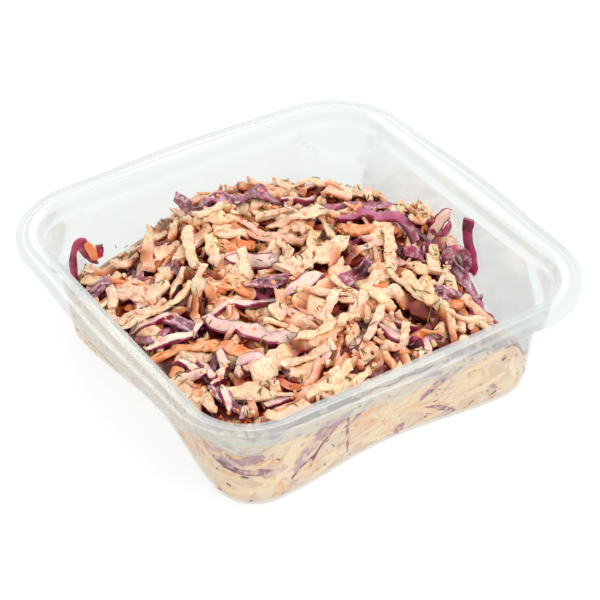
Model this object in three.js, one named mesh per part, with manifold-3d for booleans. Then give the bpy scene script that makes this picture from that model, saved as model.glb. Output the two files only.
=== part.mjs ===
// Coleslaw in its square deli tub: a thin clear thermoformed tub with a turned-down rim, filled
// with shredded white cabbage, red cabbage and carrot in dressing. The salad is heaped against
// the two near walls and falls away towards the far corner.
// Millimetres, +Z up, origin at the middle of the tub's underside.

import * as THREE from 'three';
import { mergeVertices } from 'three/addons/utils/BufferGeometryUtils.js';
import Module from 'manifold-3d';

// ---- Driving dimensions of the tub --------------------------------------------------------
const TUB_HEIGHT = 38;
const RIM_HALF = 63.6; // half width where a side meets its corners
const RIM_CORNER = 25.6; // corner radius of the rim
const RIM_BOW = 1.5; // how far the middle of a rim side stands out
const LIP_DROP = 2.8; // depth of the turned-down lip
const PLASTIC = 0.7; // thickness of the formed sheet
const BEAD_DROP = 0.6; // the brim lies this much lower than the bead round the opening
const BEAD_EDGE = 0.35; // the bead ends this share of the way from the opening to the rim
const BEAD_FOOT = 0.5; // and its slope meets the brim here

// The inner face of the sheet from the floor up to the opening. half is measured where a side
// meets its corners, bow is how far the side's middle stands out from that (in, when negative),
// and lug is how far the stacking lug in each corner stands out from the wall.
const INNER_FACE = [
  { z: PLASTIC, half: 45.4, corner: 9, bow: -3, lug: 0 },
  { z: PLASTIC + 0.7, half: 47.6, corner: 10.6, bow: -3.3, lug: 0 },
  { z: PLASTIC + 2.2, half: 49, corner: 11.8, bow: -3.5, lug: 0 },
  { z: PLASTIC + 4.4, half: 49.7, corner: 12.6, bow: -3.6, lug: 0 },
  { z: 14, half: 50.9, corner: 14.5, bow: -2.6, lug: 0 },
  { z: 24, half: 52.2, corner: 16.4, bow: -1.2, lug: 0 },
  { z: 26, half: 52.5, corner: 16.8, bow: -0.9, lug: 2.2 },
  { z: 28, half: 52.8, corner: 17.1, bow: -0.6, lug: 3 },
  { z: 32.6, half: 53.5, corner: 17.8, bow: 0, lug: 2.8 },
  { z: 33.4, half: 55, corner: 17.4, bow: 0, lug: 1.4 },
  { z: 36.6, half: 56, corner: 16.6, bow: 0, lug: 0.3 },
  { z: TUB_HEIGHT, half: 57, corner: 16.2, bow: 0.2, lug: 0 },
];

const SIDE_STEPS = 6; // facets along one side of an outline
const CORNER_STEPS = 6; // facets round one corner

// ---- Driving dimensions of the salad ------------------------------------------------------
const GAP = 0.35; // clearance between the salad and the plastic
const HEAP_LEVEL = 32.8; // general level of the salad above the table
const WALL_SAG = 2.2; // the heap rounds down by this much at the plastic
const WALL_SAG_REACH = 9;
const FAR_FALL = 16; // drop towards the far corner
const FAR_FALL_START = 25; // distance from the middle, along the diagonal
const FAR_FALL_END = 72;
// Hollows in the heap, and one mound (a depth below zero): place, how deep, and how wide.
const HOLLOWS = [
  { x: 56, y: -34, depth: 22, reach: 26 },
  { x: -38, y: 56, depth: 14, reach: 26 },
  { x: 47, y: 2, depth: -5, reach: 13 },
];
const LUMP_HEIGHT = 0.9; // relief of the packed shreds between the loose ones
const HEAP_RINGS = 13; // rings of the heap's top, from the plastic to the middle
const WALL_RINGS = 5; // rings of the heap's side, from the floor to its top edge

// The shreds that show: how many, how long, wide and thick, and how much they curl (radians).
const RED_CABBAGE = { count: 20, long: [20, 32], wide: [2.8, 3.8], thick: 1.5, curl: 1.5 };
const WHITE_CABBAGE = { count: 52, long: [14, 28], wide: [3, 4.6], thick: 1.5, curl: 0.7 };
const CARROT = { count: 11, long: [16, 26], wide: [2.4, 3], thick: 1.7, curl: 0.5 };
const SHREDS = [RED_CABBAGE, WHITE_CABBAGE, CARROT];
const SHRED_STEPS = 4; // straight stretches in one shred
const SHRED_TIP = 0.55; // its width at the ends, against its middle
const SHRED_LIFT = [0.4, 1.6]; // how far its middle line lies above the packed salad
const SHRED_PITCH = 0.08; // the steepest climb of a shred against the heap
const SHRED_LEAN = 0.45; // the most that it rolls to one side, in radians
const SHORTEN = 0.8; // a shred that doesn't fit is cut to this share of its length
const TURN = Math.PI / 6; // and is turned by this angle between cuts
const WALL_ROOM = 0.7; // a shred's edges keep this far from the plastic
const SHORTEST_SHRED = 9;
const SEED = 20431;
const EVEN_STEP_X = 0.7548776662; // the steps of an evenly spreading sequence in the plane
const EVEN_STEP_Y = 0.5698402911;

// One strip of red cabbage leans on the wall with its foot in the heap.
const LEANING_SHRED = { y: -10.3, top: 32.3, foot: 13, run: -10, bend: 1.5, wide: 3.2, thick: 1.3 };

const WELD = 0.001; // points nearer than this become one
const WELD_PASSES = 2;

const QUARTER = Math.PI / 2;

// ---- Colours ------------------------------------------------------------------------------
const PLASTIC_LOOK = {
  color: 0xe8eeea,
  roughness: 0.12,
  metalness: 0,
  transparent: true,
  opacity: 0.35,
};
const SALAD_LOOK = { color: 0xe2bfa0, roughness: 0.45, metalness: 0 };

// ---- Outlines -----------------------------------------------------------------------------

// A square with round corners, counterclockwise from the start of the +X side. Its sides swell
// by the bow at their middles, and its corners by the lug.
function outline({ half, corner, bow, lug }, inset = 0) {
  const straight = half - corner;
  const radius = corner - inset;
  const points = [];
  for (let side = 0; side < 4; side += 1) {
    const turn = side * QUARTER;
    for (let i = 0; i < SIDE_STEPS; i += 1) {
      const along = straight * (2 * (i / SIDE_STEPS) - 1);
      const swell = bow * Math.cos((QUARTER * along) / straight) ** 2;
      points.push(turned(half - inset + swell, along, turn));
    }
    for (let i = 0; i < CORNER_STEPS; i += 1) {
      const angle = QUARTER * (i / CORNER_STEPS);
      const reach = radius + lug * Math.sin(2 * angle);
      const x = straight + reach * Math.cos(angle);
      const y = straight + reach * Math.sin(angle);
      points.push(turned(x, y, turn));
    }
  }
  return points;
}

function turned(x, y, angle) {
  const c = Math.cos(angle);
  const s = Math.sin(angle);
  return [x * c - y * s, x * s + y * c];
}

function mix(a, b, t) {
  return a + (b - a) * t;
}

function smoothstep(t) {
  const u = Math.min(1, Math.max(0, t));
  return u * u * (3 - 2 * u);
}

// The inner face of the tub at one height.
function innerFaceAt(z) {
  const last = INNER_FACE.length - 1;
  let row = 0;
  while (row < last - 1 && INNER_FACE[row + 1].z < z) row += 1;
  const low = INNER_FACE[row];
  const high = INNER_FACE[row + 1];
  const t = Math.min(1, Math.max(0, (z - low.z) / (high.z - low.z)));
  return {
    half: mix(low.half, high.half, t),
    corner: mix(low.corner, high.corner, t),
    bow: mix(low.bow, high.bow, t),
    lug: mix(low.lug, high.lug, t),
  };
}

// ---- Lofted bodies ------------------------------------------------------------------------

// A closed body from rings of equal length, with a middle point below the first ring and
// another after the last.
function loftedBody(rings, firstMiddle, lastMiddle) {
  const count = rings[0].length;
  const positions = rings.flat(2);
  const first = rings.length * count;
  const last = first + 1;
  positions.push(...firstMiddle, ...lastMiddle);
  const index = [];
  for (let i = 0; i < count; i += 1) {
    const next = (i + 1) % count;
    index.push(first, next, i);
    for (let ring = 0; ring < rings.length - 1; ring += 1) {
      const low = ring * count;
      const high = low + count;
      index.push(low + i, low + next, high + next);
      index.push(low + i, high + next, high + i);
    }
    const end = (rings.length - 1) * count;
    index.push(end + i, end + next, last);
  }
  const geometry = new THREE.BufferGeometry();
  geometry.setAttribute('position', new THREE.Float32BufferAttribute(positions, 3));
  geometry.setIndex(index);
  return geometry;
}

function ringAt(shape, z, inset = 0) {
  return outline(shape, inset).map(([x, y]) => [x, y, z]);
}

// ---- The tub ------------------------------------------------------------------------------

// The sheet runs from the underside up the outer face, out under the brim, round the lip, back
// over the brim and the bead, and down the inner face to the floor.
function tubGeometry() {
  const rim = { half: RIM_HALF, corner: RIM_CORNER, bow: RIM_BOW, lug: 0 };
  const opening = INNER_FACE[INNER_FACE.length - 1];
  const brimTop = TUB_HEIGHT - BEAD_DROP;
  const bead = betweenShapes(opening, rim, BEAD_EDGE);
  const beadFoot = betweenShapes(opening, rim, BEAD_FOOT);
  const fold = 1.6 * PLASTIC; // the sheet's thickness along its slanting folds
  const rings = [];
  for (const row of INNER_FACE.slice(0, -1)) {
    rings.push(ringAt(row, Math.max(0, row.z - PLASTIC * sheetTilt(row)), -PLASTIC));
  }
  rings.push(ringAt(opening, TUB_HEIGHT - fold, -PLASTIC));
  rings.push(ringAt(bead, TUB_HEIGHT - PLASTIC));
  rings.push(ringAt(beadFoot, brimTop - PLASTIC));
  rings.push(ringAt(rim, brimTop - PLASTIC, fold));
  rings.push(ringAt(rim, TUB_HEIGHT - LIP_DROP, PLASTIC));
  rings.push(ringAt(rim, TUB_HEIGHT - LIP_DROP));
  rings.push(ringAt(rim, brimTop - PLASTIC));
  rings.push(ringAt(rim, brimTop, PLASTIC));
  rings.push(ringAt(beadFoot, brimTop));
  rings.push(ringAt(bead, TUB_HEIGHT));
  for (const row of [...INNER_FACE].reverse()) rings.push(ringAt(row, row.z));
  return loftedBody(rings, [0, 0, 0], [0, 0, PLASTIC]);
}

// How much of the sheet's thickness shows as height: all of it on the floor, none on the wall.
function sheetTilt(row) {
  const fillet = INNER_FACE[3].z - PLASTIC;
  return 1 - smoothstep((row.z - PLASTIC) / fillet);
}

function betweenShapes(a, b, t) {
  return {
    half: mix(a.half, b.half, t),
    corner: mix(a.corner, b.corner, t),
    bow: mix(a.bow, b.bow, t),
    lug: 0,
  };
}

// ---- The salad ----------------------------------------------------------------------------

// Height of the packed salad above the table, without its loose shreds.
function heapLevel(x, y) {
  const outward = Math.max(Math.abs(x), Math.abs(y));
  const fromWall = innerFaceAt(HEAP_LEVEL).half - outward;
  const diagonal = (x + y) / Math.SQRT2;
  const far = smoothstep((diagonal - FAR_FALL_START) / (FAR_FALL_END - FAR_FALL_START));
  let level = HEAP_LEVEL - FAR_FALL * far;
  level -= WALL_SAG * (1 - smoothstep(fromWall / WALL_SAG_REACH));
  for (const hollow of HOLLOWS) {
    const d2 = (x - hollow.x) ** 2 + (y - hollow.y) ** 2;
    level -= hollow.depth * Math.exp(-d2 / hollow.reach ** 2);
  }
  return level + LUMP_HEIGHT * lumps(x, y);
}

// Uneven ground from a few crossing waves, between about -1 and 1.
function lumps(x, y) {
  const a = Math.sin(0.41 * x + 0.9 * Math.sin(0.23 * y));
  const b = Math.sin(0.37 * y + 1.3 * Math.sin(0.19 * x + 1));
  const c = Math.sin(0.29 * (x - y) + 2);
  return (a + b + c) / 2.4;
}

// The salad follows the walls but doesn't fill the corners' lugs.
function heapOutline(z) {
  return outline({ ...innerFaceAt(z), lug: 0 }, GAP);
}

function heapGeometry() {
  const floor = PLASTIC + GAP;
  const edge = heapOutline(HEAP_LEVEL - WALL_SAG).map(([x, y]) => heapLevel(x, y));
  const rings = [];
  for (let ring = 0; ring <= WALL_RINGS; ring += 1) {
    const rise = (ring / WALL_RINGS) ** 1.5;
    rings.push(edge.map((top, i) => {
      const z = mix(floor, top, rise);
      const [x, y] = heapOutline(z)[i];
      return [x, y, z];
    }));
  }
  const border = rings[WALL_RINGS];
  for (let ring = 1; ring < HEAP_RINGS; ring += 1) {
    const t = 1 - ring / HEAP_RINGS;
    rings.push(border.map(([x, y]) => [x * t, y * t, heapLevel(x * t, y * t)]));
  }
  return loftedBody(rings, [0, 0, floor], [0, 0, heapLevel(0, 0)]);
}

// A repeatable random number from 0 to 1.
function randomFrom(seed) {
  let state = seed;
  return () => {
    state = (Math.imul(state, 1664525) + 1013904223) >>> 0;
    return state / 2 ** 32;
  };
}

// A strip of four-sided section through the given points, pinched at both ends. Its flat faces
// look along facing, turned by lean about its length.
function stripGeometry(points, wide, thick, facing, lean = 0) {
  const rings = points.map((point, i) => {
    const before = points[Math.max(0, i - 1)];
    const after = points[Math.min(points.length - 1, i + 1)];
    const along = after.clone().sub(before).normalize();
    const side = along.clone().cross(facing).normalize();
    side.applyAxisAngle(along, lean);
    const normal = side.clone().cross(along);
    const ends = i === 0 || i === points.length - 1;
    const w = (ends ? SHRED_TIP : 1) * wide / 2;
    const h = thick / 2;
    const corners = [[w, h], [w, -h], [-w, -h], [-w, h]];
    return corners.map(([a, b]) => point.clone().addScaledVector(side, a)
      .addScaledVector(normal, b).toArray());
  });
  const tip = points[points.length - 1];
  return loftedBody(rings, points[0].toArray(), tip.toArray());
}

// Whether a point lies inside the tub's wall with the given room to spare.
function insideTub(x, y, z, room) {
  const shape = innerFaceAt(z);
  const straight = shape.half - shape.corner;
  const ax = Math.abs(x);
  const ay = Math.abs(y);
  const slack = room - Math.min(0, shape.bow);
  if (ax > straight && ay > straight) {
    return Math.hypot(ax - straight, ay - straight) < shape.corner - slack;
  }
  return Math.max(ax, ay) < shape.half - slack;
}

// The points of one shred laid on the heap, or null where it would cross the plastic.
function layShred({ x, y, curl, lift, pitch, room }, heading, long) {
  const points = [];
  for (let i = 0; i <= SHRED_STEPS; i += 1) {
    const s = long * (i / SHRED_STEPS - 0.5);
    const bend = curl * (s / long);
    const px = x + s * Math.cos(heading + bend);
    const py = y + s * Math.sin(heading + bend);
    const pz = heapLevel(px, py) + lift + pitch * s;
    if (!insideTub(px, py, pz, room)) return null;
    points.push(new THREE.Vector3(px, py, pz));
  }
  return points;
}

// A shred that would cross the plastic is turned, and then shortened, until it fits.
function fitShred(lie, firstHeading, fullLength) {
  for (let long = fullLength; long > SHORTEST_SHRED; long *= SHORTEN) {
    for (let turn = 0; turn < Math.PI; turn += TURN) {
      const points = layShred(lie, firstHeading + turn, long);
      if (points) return points;
    }
  }
  return null;
}

// All the shreds, spread evenly: each lies one step on along both sides of the heap, and comes
// in again at the other end.
function shredGeometries() {
  const random = randomFrom(SEED);
  const between = (low, high) => mix(low, high, random());
  const reach = 2 * innerFaceAt(HEAP_LEVEL).half;
  const up = new THREE.Vector3(0, 0, 1);
  const geometries = [];
  let place = 0;
  for (const shred of SHREDS) {
    for (let n = 0; n < shred.count; n += 1) {
      place += 1;
      const wide = between(...shred.wide);
      const lie = {
        x: reach * (((0.5 + EVEN_STEP_X * place) % 1) - 0.5),
        y: reach * (((0.5 + EVEN_STEP_Y * place) % 1) - 0.5),
        curl: between(-shred.curl, shred.curl),
        lift: between(...SHRED_LIFT),
        pitch: between(-SHRED_PITCH, SHRED_PITCH),
        room: wide / 2 + WALL_ROOM,
      };
      const lean = between(-SHRED_LEAN, SHRED_LEAN);
      const points = fitShred(lie, between(0, Math.PI), between(...shred.long));
      if (points) geometries.push(stripGeometry(points, wide, shred.thick, up, lean));
    }
  }
  return geometries;
}

// The strip that leans on the wall beyond the heap.
function leaningShredGeometry() {
  const { y, top, foot, run, bend, wide, thick } = LEANING_SHRED;
  const points = [];
  for (let i = 0; i <= SHRED_STEPS; i += 1) {
    const t = i / SHRED_STEPS;
    const z = mix(top, foot, t);
    const wall = innerFaceAt(z);
    const x = wall.half + wall.bow - thick / 2 - WALL_ROOM;
    points.push(new THREE.Vector3(x, y + run * t + bend * Math.sin(Math.PI * t), z));
  }
  return stripGeometry(points, wide, thick, new THREE.Vector3(1, 0, 0));
}

// ---- Joining ------------------------------------------------------------------------------

function toSolid(wasm, geometry) {
  const vertProperties = new Float32Array(geometry.attributes.position.array);
  const triVerts = new Uint32Array(geometry.index.array);
  return new wasm.Manifold(new wasm.Mesh({ numProp: 3, vertProperties, triVerts }));
}

function fromSolid(solid) {
  const mesh = solid.getMesh();
  const geometry = new THREE.BufferGeometry();
  geometry.setAttribute('position', new THREE.BufferAttribute(mesh.vertProperties, 3));
  geometry.setIndex(new THREE.BufferAttribute(mesh.triVerts, 1));
  return geometry;
}

// The outer skin alone: hollows shut in between shreds are filled and loose scraps are gone.
function outerSkin(solid) {
  const parts = solid.decompose();
  parts.sort((a, b) => b.volume() - a.volume());
  return fromSolid(parts[0]);
}

// One solid from the packed heap and its shreds. Welding nearly equal points can pinch off a
// sliver, so the skin is taken again after it.
function fuse(wasm, core, pieces) {
  let solid = toSolid(wasm, core);
  for (const piece of pieces) solid = solid.add(toSolid(wasm, piece));
  let skin = outerSkin(solid);
  for (let pass = 0; pass < WELD_PASSES; pass += 1) {
    skin = outerSkin(toSolid(wasm, mergeVertices(skin, WELD)));
  }
  return skin;
}

function part(name, geometry, look) {
  geometry.computeVertexNormals();
  const mesh = new THREE.Mesh(geometry, new THREE.MeshStandardMaterial(look));
  mesh.name = name;
  return mesh;
}

const wasm = await Module();
wasm.setup();

const coleslawInTub = new THREE.Group();
coleslawInTub.name = 'coleslaw_in_tub';
coleslawInTub.add(part('tub', tubGeometry(), PLASTIC_LOOK));
const shreds = [...shredGeometries(), leaningShredGeometry()];
coleslawInTub.add(part('coleslaw', fuse(wasm, heapGeometry(), shreds), SALAD_LOOK));

export default coleslawInTub;
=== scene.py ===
import math

import bpy
import numpy as np
from mathutils import Matrix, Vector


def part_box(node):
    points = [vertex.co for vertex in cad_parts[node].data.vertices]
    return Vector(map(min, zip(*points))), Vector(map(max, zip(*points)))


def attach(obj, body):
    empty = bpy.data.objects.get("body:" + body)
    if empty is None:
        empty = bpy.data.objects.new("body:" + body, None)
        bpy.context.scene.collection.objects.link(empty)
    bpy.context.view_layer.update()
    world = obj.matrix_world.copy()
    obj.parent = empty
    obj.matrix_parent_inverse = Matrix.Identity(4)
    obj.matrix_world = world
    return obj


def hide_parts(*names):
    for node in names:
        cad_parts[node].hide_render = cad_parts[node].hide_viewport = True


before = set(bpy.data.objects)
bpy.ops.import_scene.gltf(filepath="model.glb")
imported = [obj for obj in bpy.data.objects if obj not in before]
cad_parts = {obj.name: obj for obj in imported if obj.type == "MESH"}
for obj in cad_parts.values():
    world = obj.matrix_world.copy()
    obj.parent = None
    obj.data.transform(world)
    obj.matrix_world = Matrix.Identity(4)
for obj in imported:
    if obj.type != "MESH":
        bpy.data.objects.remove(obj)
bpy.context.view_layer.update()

# ---- The camera --------------------------------------------------------------------------
# A long lens looks down over the tub's near corner, so that the top of the salad and both
# near walls show. Places are in millimetres here and in every section.
MM = 0.001
CAMERA_PLACE = (-238.9, -372.6, 363.6)
CAMERA_AZIMUTH = -32.83
CAMERA_ELEVATION = 37.82
CAMERA_ROLL = -0.64
CAMERA_LENS = 119.58
CAMERA_SENSOR = 36

camera = bpy.data.objects.new("camera", bpy.data.cameras.new("camera"))
camera.data.sensor_width = CAMERA_SENSOR
camera.data.lens = CAMERA_LENS
camera.matrix_world = (
    Matrix.Translation([along * MM for along in CAMERA_PLACE])
    @ Matrix.Rotation(math.radians(CAMERA_AZIMUTH), 4, "Z")
    @ Matrix.Rotation(math.radians(90 - CAMERA_ELEVATION), 4, "X")
    @ Matrix.Rotation(math.radians(CAMERA_ROLL), 4, "Z")
)
bpy.context.collection.objects.link(camera)
bpy.context.scene.camera = camera
bpy.context.scene.view_settings.view_transform = "Standard"


# ---- Floor and light ---------------------------------------------------------------------
# A white studio table, a broad soft box high in front, a smaller one behind the tub that
# draws the highlights on the plastic, and even light from all round.
FLOOR_HALF = 4000
FLOOR_DROP = 0.2  # the table lies just clear of the tub's foot
ROOM_LIGHT = 0.9
SOFT_BOXES = {
    "key_light": {"place": (40, -400, 600), "size": 420, "watts": 2.6},
    "back_light": {"place": (260, 480, 420), "size": 320, "watts": 0.5},
}


def linear(red, green, blue):
    """A colour as shaders take it, from the 0 to 255 of a paint chart."""
    parts = [part / 255 for part in (red, green, blue)]
    return (*[p / 12.92 if p <= 0.04045 else ((p + 0.055) / 1.055) ** 2.4 for p in parts], 1)


class Wire:
    """A socket of one material. Sums written on it add Math nodes."""

    def __init__(self, tree, socket=None):
        self.tree = tree
        self.socket = socket

    def node(self, kind, settings=(), sockets=(), output=0):
        """Adds a node. Its settings are set first, then the values or links of its sockets."""
        made = self.tree.nodes.new("ShaderNode" + kind)
        for name, value in dict(settings).items():
            if name == "stops":
                for spare in range(len(value) - 2):
                    made.color_ramp.elements.new(0.5)
                for stop, (place, colour) in zip(made.color_ramp.elements, value):
                    stop.position = place
                    stop.color = colour
            else:
                setattr(made, name, value)
        for name, value in dict(sockets).items():
            if isinstance(value, Wire):
                self.tree.links.new(value.socket, made.inputs[name])
            else:
                made.inputs[name].default_value = value
        return Wire(self.tree, None if output is None else made.outputs[output])

    def math(self, operation, *values):
        return self.node("Math", {"operation": operation}, enumerate(values))

    def __add__(self, other):
        return self.math("ADD", self, other)

    def __sub__(self, other):
        return self.math("SUBTRACT", self, other)

    def __rsub__(self, other):
        return self.math("SUBTRACT", other, self)

    def __mul__(self, other):
        return self.math("MULTIPLY", self, other)

    def __pow__(self, other):
        return self.math("POWER", self, other)

    __radd__ = __add__
    __rmul__ = __mul__

    def mark(self, name):
        """A number that is kept on the mesh's points."""
        return self.node("Attribute", {"attribute_name": name}, output="Fac")

    def rising(self, start, end):
        """0 below start, 1 above end, and smooth between them."""
        settings = {"interpolation_type": "SMOOTHSTEP"}
        return self.node("MapRange", settings, {"Value": self, "From Min": start, "From Max": end})

    def tint(self, low, high):
        """The colour low where this is 0 and high where it is 1."""
        return self.node("Mix", {"data_type": "RGBA"}, {0: self, 6: low, 7: high}, 2)

    def noise(self, grain, detail=2, distortion=0):
        """Cloudy noise over this place, with patches of about grain millimetres."""
        sockets = {"Vector": self, "Scale": 1 / (grain * MM), "Detail": detail}
        return self.node("TexNoise", (), {**sockets, "Distortion": distortion})

    def bump(self, height, strength=1.0):
        """The surface's normal where this stands up by height millimetres."""
        return self.node("Bump", (), {"Height": self, "Distance": height * MM, "Strength": strength})


def new_finish(name):
    """A new material, and the wires that read where a point is on the object."""
    material = bpy.data.materials.new(name)
    material.use_nodes = True
    material.node_tree.nodes.clear()
    place = Wire(material.node_tree).node("TexCoord", output="Object")
    return material, place


def finished(shader):
    shader.node("OutputMaterial", (), {"Surface": shader}, None)


studio = bpy.data.worlds.new("room")
studio.use_nodes = True
studio.node_tree.nodes["Background"].inputs["Color"].default_value = linear(252, 253, 255)
studio.node_tree.nodes["Background"].inputs["Strength"].default_value = ROOM_LIGHT
bpy.context.scene.world = studio

for name, box in SOFT_BOXES.items():
    lamp = bpy.data.objects.new(name, bpy.data.lights.new(name, "AREA"))
    lamp.data.size = box["size"] * MM
    lamp.data.energy = box["watts"]
    lamp.location = [along * MM for along in box["place"]]
    lamp.rotation_euler = lamp.location.to_track_quat("Z", "Y").to_euler()
    bpy.context.collection.objects.link(lamp)

table_finish, place = new_finish("white_table")
speckle = place.noise(40).rising(0.3, 0.7)
table_paint = {
    "Base Color": speckle.tint(linear(126, 126, 126), linear(129, 129, 129)),
    "Roughness": 0.9,
    "Emission Color": linear(255, 255, 255),
    "Emission Strength": 0.79,
}
finished(place.node("BsdfPrincipled", (), table_paint))
floor_mesh = bpy.data.meshes.new("table")
square = ((-1, -1), (1, -1), (1, 1), (-1, 1))
corners = [(x * FLOOR_HALF * MM, y * FLOOR_HALF * MM, -FLOOR_DROP * MM) for x, y in square]
floor_mesh.from_pydata(corners, [], [(0, 1, 2, 3)])
floor_mesh.materials.append(table_finish)
floor = bpy.data.objects.new("table", floor_mesh)
bpy.context.collection.objects.link(floor)


# ---- The tub -----------------------------------------------------------------------------
# One clear sheet, drawn hot into a square mould: a thin wall with stacking lugs in its upper
# corners, a step under the mouth for the lid, a bead, a brim, and a lip turned down all round.
tub_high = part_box("tub")[1]
TUB_HEIGHT = tub_high.z / MM
SHEET = 0.7
RIM_BOW = 1.5
RIM_HALF = tub_high.x / MM - RIM_BOW
RIM_CORNER = 25.6
LIP_DROP = 2.8
BEAD_DROP = 0.6
BEAD_EDGE = 0.35
BEAD_FOOT = 0.5
FOLD = 1.6 * SHEET
FOLD_ROUND = 0.9  # how far from a fold its rounding starts
FOLD_STEPS = 5
SIDE_STEPS = 30
CORNER_STEPS = 20
QUARTER = math.pi / 2
LUG_FOOT = 21.5  # where a lug starts in the middle of its corner
LUG_RISE = 9  # how much higher it starts at its sides
LUG_BLEND = 1.6  # the height over which it comes to its full depth
BRIM_START = 33.4  # the brim was drawn least, so from here up the sheet is milkier
BRIM_BLEND = 2
BRIM_MILK = 0.11
CREASE = math.radians(38)  # a sharper fold than this shows as an edge

# The sheet's inner face, floor to mouth: height, half width where a side meets its corners,
# corner radius, bow of the side's middle, and how far the lug in each corner stands out.
INNER_FACE = np.array([
    (SHEET, 45.4, 9, -3, 0),
    (SHEET + 0.7, 47.6, 10.6, -3.3, 0),
    (SHEET + 2.2, 49, 11.8, -3.5, 0),
    (SHEET + 4.4, 49.7, 12.6, -3.6, 0),
    (14, 50.9, 14.5, -2.6, 0),
    (21.5, 51.85, 15.9, -1.55, 0),
    (22.3, 51.95, 16.05, -1.45, 2.2),
    (23.5, 52.15, 16.3, -1.3, 2.6),
    (25, 52.35, 16.6, -1.05, 2.8),
    (26.5, 52.55, 16.85, -0.85, 2.9),
    (28, 52.8, 17.1, -0.6, 3),
    (30, 53.1, 17.4, -0.35, 2.9),
    (32.6, 53.5, 17.8, 0, 2.8),
    (33.4, 55, 17.4, 0, 1.4),
    (36.6, 56, 16.6, 0, 0.3),
    (TUB_HEIGHT, 57, 16.2, 0.2, 0),
])


def smooth_step(t):
    t = np.clip(t, 0, 1)
    return t * t * (3 - 2 * t)


def outline(row, inset=0):
    """A square with round corners and bowed sides: its points, counterclockwise."""
    half, corner, bow, lug = row[1:5]
    straight = half - corner
    along = straight * (2 * np.arange(SIDE_STEPS) / SIDE_STEPS - 1)
    side = np.stack([half - inset + bow * np.cos(QUARTER * along / straight) ** 2, along], 1)
    angle = QUARTER * np.arange(CORNER_STEPS) / CORNER_STEPS
    foot = LUG_FOOT + LUG_RISE * (1 - np.sin(2 * angle))
    reach = corner - inset + lug * np.sin(2 * angle) ** 0.6 * smooth_step((row[0] - foot) / LUG_BLEND)
    bend = straight + np.stack([reach * np.cos(angle), reach * np.sin(angle)], 1)
    quarter = np.concatenate([side, bend])
    turns = [np.array([[c, s], [-s, c]]) for c, s in ((1, 0), (0, 1), (-1, 0), (0, -1))]
    return np.concatenate([quarter @ turn for turn in turns])


def ring(row, z, inset=0):
    """One turn of the sheet, as a row with its height and inset set."""
    return np.array([z, *row[1:5], inset])


def rounded(rings):
    """The same turns with every fold between them rounded off."""
    made = [rings[0]]
    for before, fold, after in zip(rings, rings[1:], rings[2:]):
        ends = []
        for other in (before, after):
            gap = np.hypot(other[0] - fold[0], (other[1] - other[5]) - (fold[1] - fold[5]))
            ends.append(fold + (other - fold) * min(FOLD_ROUND / max(gap, 1e-6), 0.45))
        for t in np.linspace(0, 1, FOLD_STEPS):
            made.append((1 - t) ** 2 * ends[0] + 2 * t * (1 - t) * fold + t * t * ends[1])
    made.append(rings[-1])
    return made


def skin(rings, first_middle, last_middle):
    """Points and triangles of a closed body: rings of points, and a middle point at each end."""
    turns, count = len(rings), len(rings[0])
    points = np.concatenate([*rings, [first_middle, last_middle]])
    i = np.arange(count)
    after = (i + 1) % count
    first, last = turns * count, turns * count + 1
    faces = [np.stack([np.full(count, first), after, i], 1)]
    for turn in range(turns - 1):
        low, high = turn * count, (turn + 1) * count
        faces.append(np.stack([low + i, low + after, high + after], 1))
        faces.append(np.stack([low + i, high + after, high + i], 1))
    end = (turns - 1) * count
    faces.append(np.stack([end + i, end + after, np.full(count, last)], 1))
    return points, np.concatenate(faces)


def make_piece(name, bodies, finish, crease=CREASE):
    """One mesh from bodies, each with points, triangles and the marks its finish reads."""
    starts = np.cumsum([0] + [len(body["points"]) for body in bodies[:-1]])
    points = np.concatenate([body["points"] for body in bodies]) * MM
    corners = np.concatenate([body["faces"] + start for body, start in zip(bodies, starts)])
    mesh = bpy.data.meshes.new(name)
    mesh.vertices.add(len(points))
    mesh.vertices.foreach_set("co", points.astype(np.float32).ravel())
    mesh.loops.add(corners.size)
    mesh.loops.foreach_set("vertex_index", corners.astype(np.int32).ravel())
    mesh.polygons.add(len(corners))
    mesh.polygons.foreach_set("loop_start", np.arange(0, corners.size, 3, dtype=np.int32))
    mesh.update()
    mesh.shade_smooth()
    mesh.set_sharp_from_angle(angle=crease)
    for mark in bodies[0].get("marks", ()):
        values = [np.broadcast_to(body["marks"][mark], len(body["points"])) for body in bodies]
        attribute = mesh.attributes.new(mark, "FLOAT", "POINT")
        attribute.data.foreach_set("value", np.concatenate(values).astype(np.float32))
    mesh.materials.append(finish)
    made = bpy.data.objects.new(name, mesh)
    bpy.context.collection.objects.link(made)
    return made


mouth = INNER_FACE[-1]
rim = np.array([TUB_HEIGHT, RIM_HALF, RIM_CORNER, RIM_BOW, 0])
brim_top = TUB_HEIGHT - BEAD_DROP
bead = mouth + (rim - mouth) * BEAD_EDGE
bead_foot = mouth + (rim - mouth) * BEAD_FOOT
fillet_top = INNER_FACE[3][0]
sheet_turns = []
for row in INNER_FACE[:-1]:
    floor_share = 1 - smooth_step((row[0] - SHEET) / (fillet_top - SHEET))
    sheet_turns.append(ring(row, max(0, row[0] - SHEET * floor_share), -SHEET))
sheet_turns += [
    ring(mouth, TUB_HEIGHT - FOLD, -SHEET),
    ring(bead, TUB_HEIGHT - SHEET),
    ring(bead_foot, brim_top - SHEET),
    ring(rim, brim_top - SHEET, FOLD),
    ring(rim, TUB_HEIGHT - LIP_DROP, SHEET),
    ring(rim, TUB_HEIGHT - LIP_DROP),
    ring(rim, brim_top - SHEET),
    ring(rim, brim_top, SHEET),
    ring(bead_foot, brim_top),
    ring(bead, TUB_HEIGHT),
]
sheet_turns += [ring(row, row[0]) for row in INNER_FACE[::-1]]
sheet_rings = []
for turn in rounded(sheet_turns):
    edge = outline(turn, turn[5])
    sheet_rings.append(np.column_stack([edge, np.full(len(edge), turn[0])]))
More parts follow.
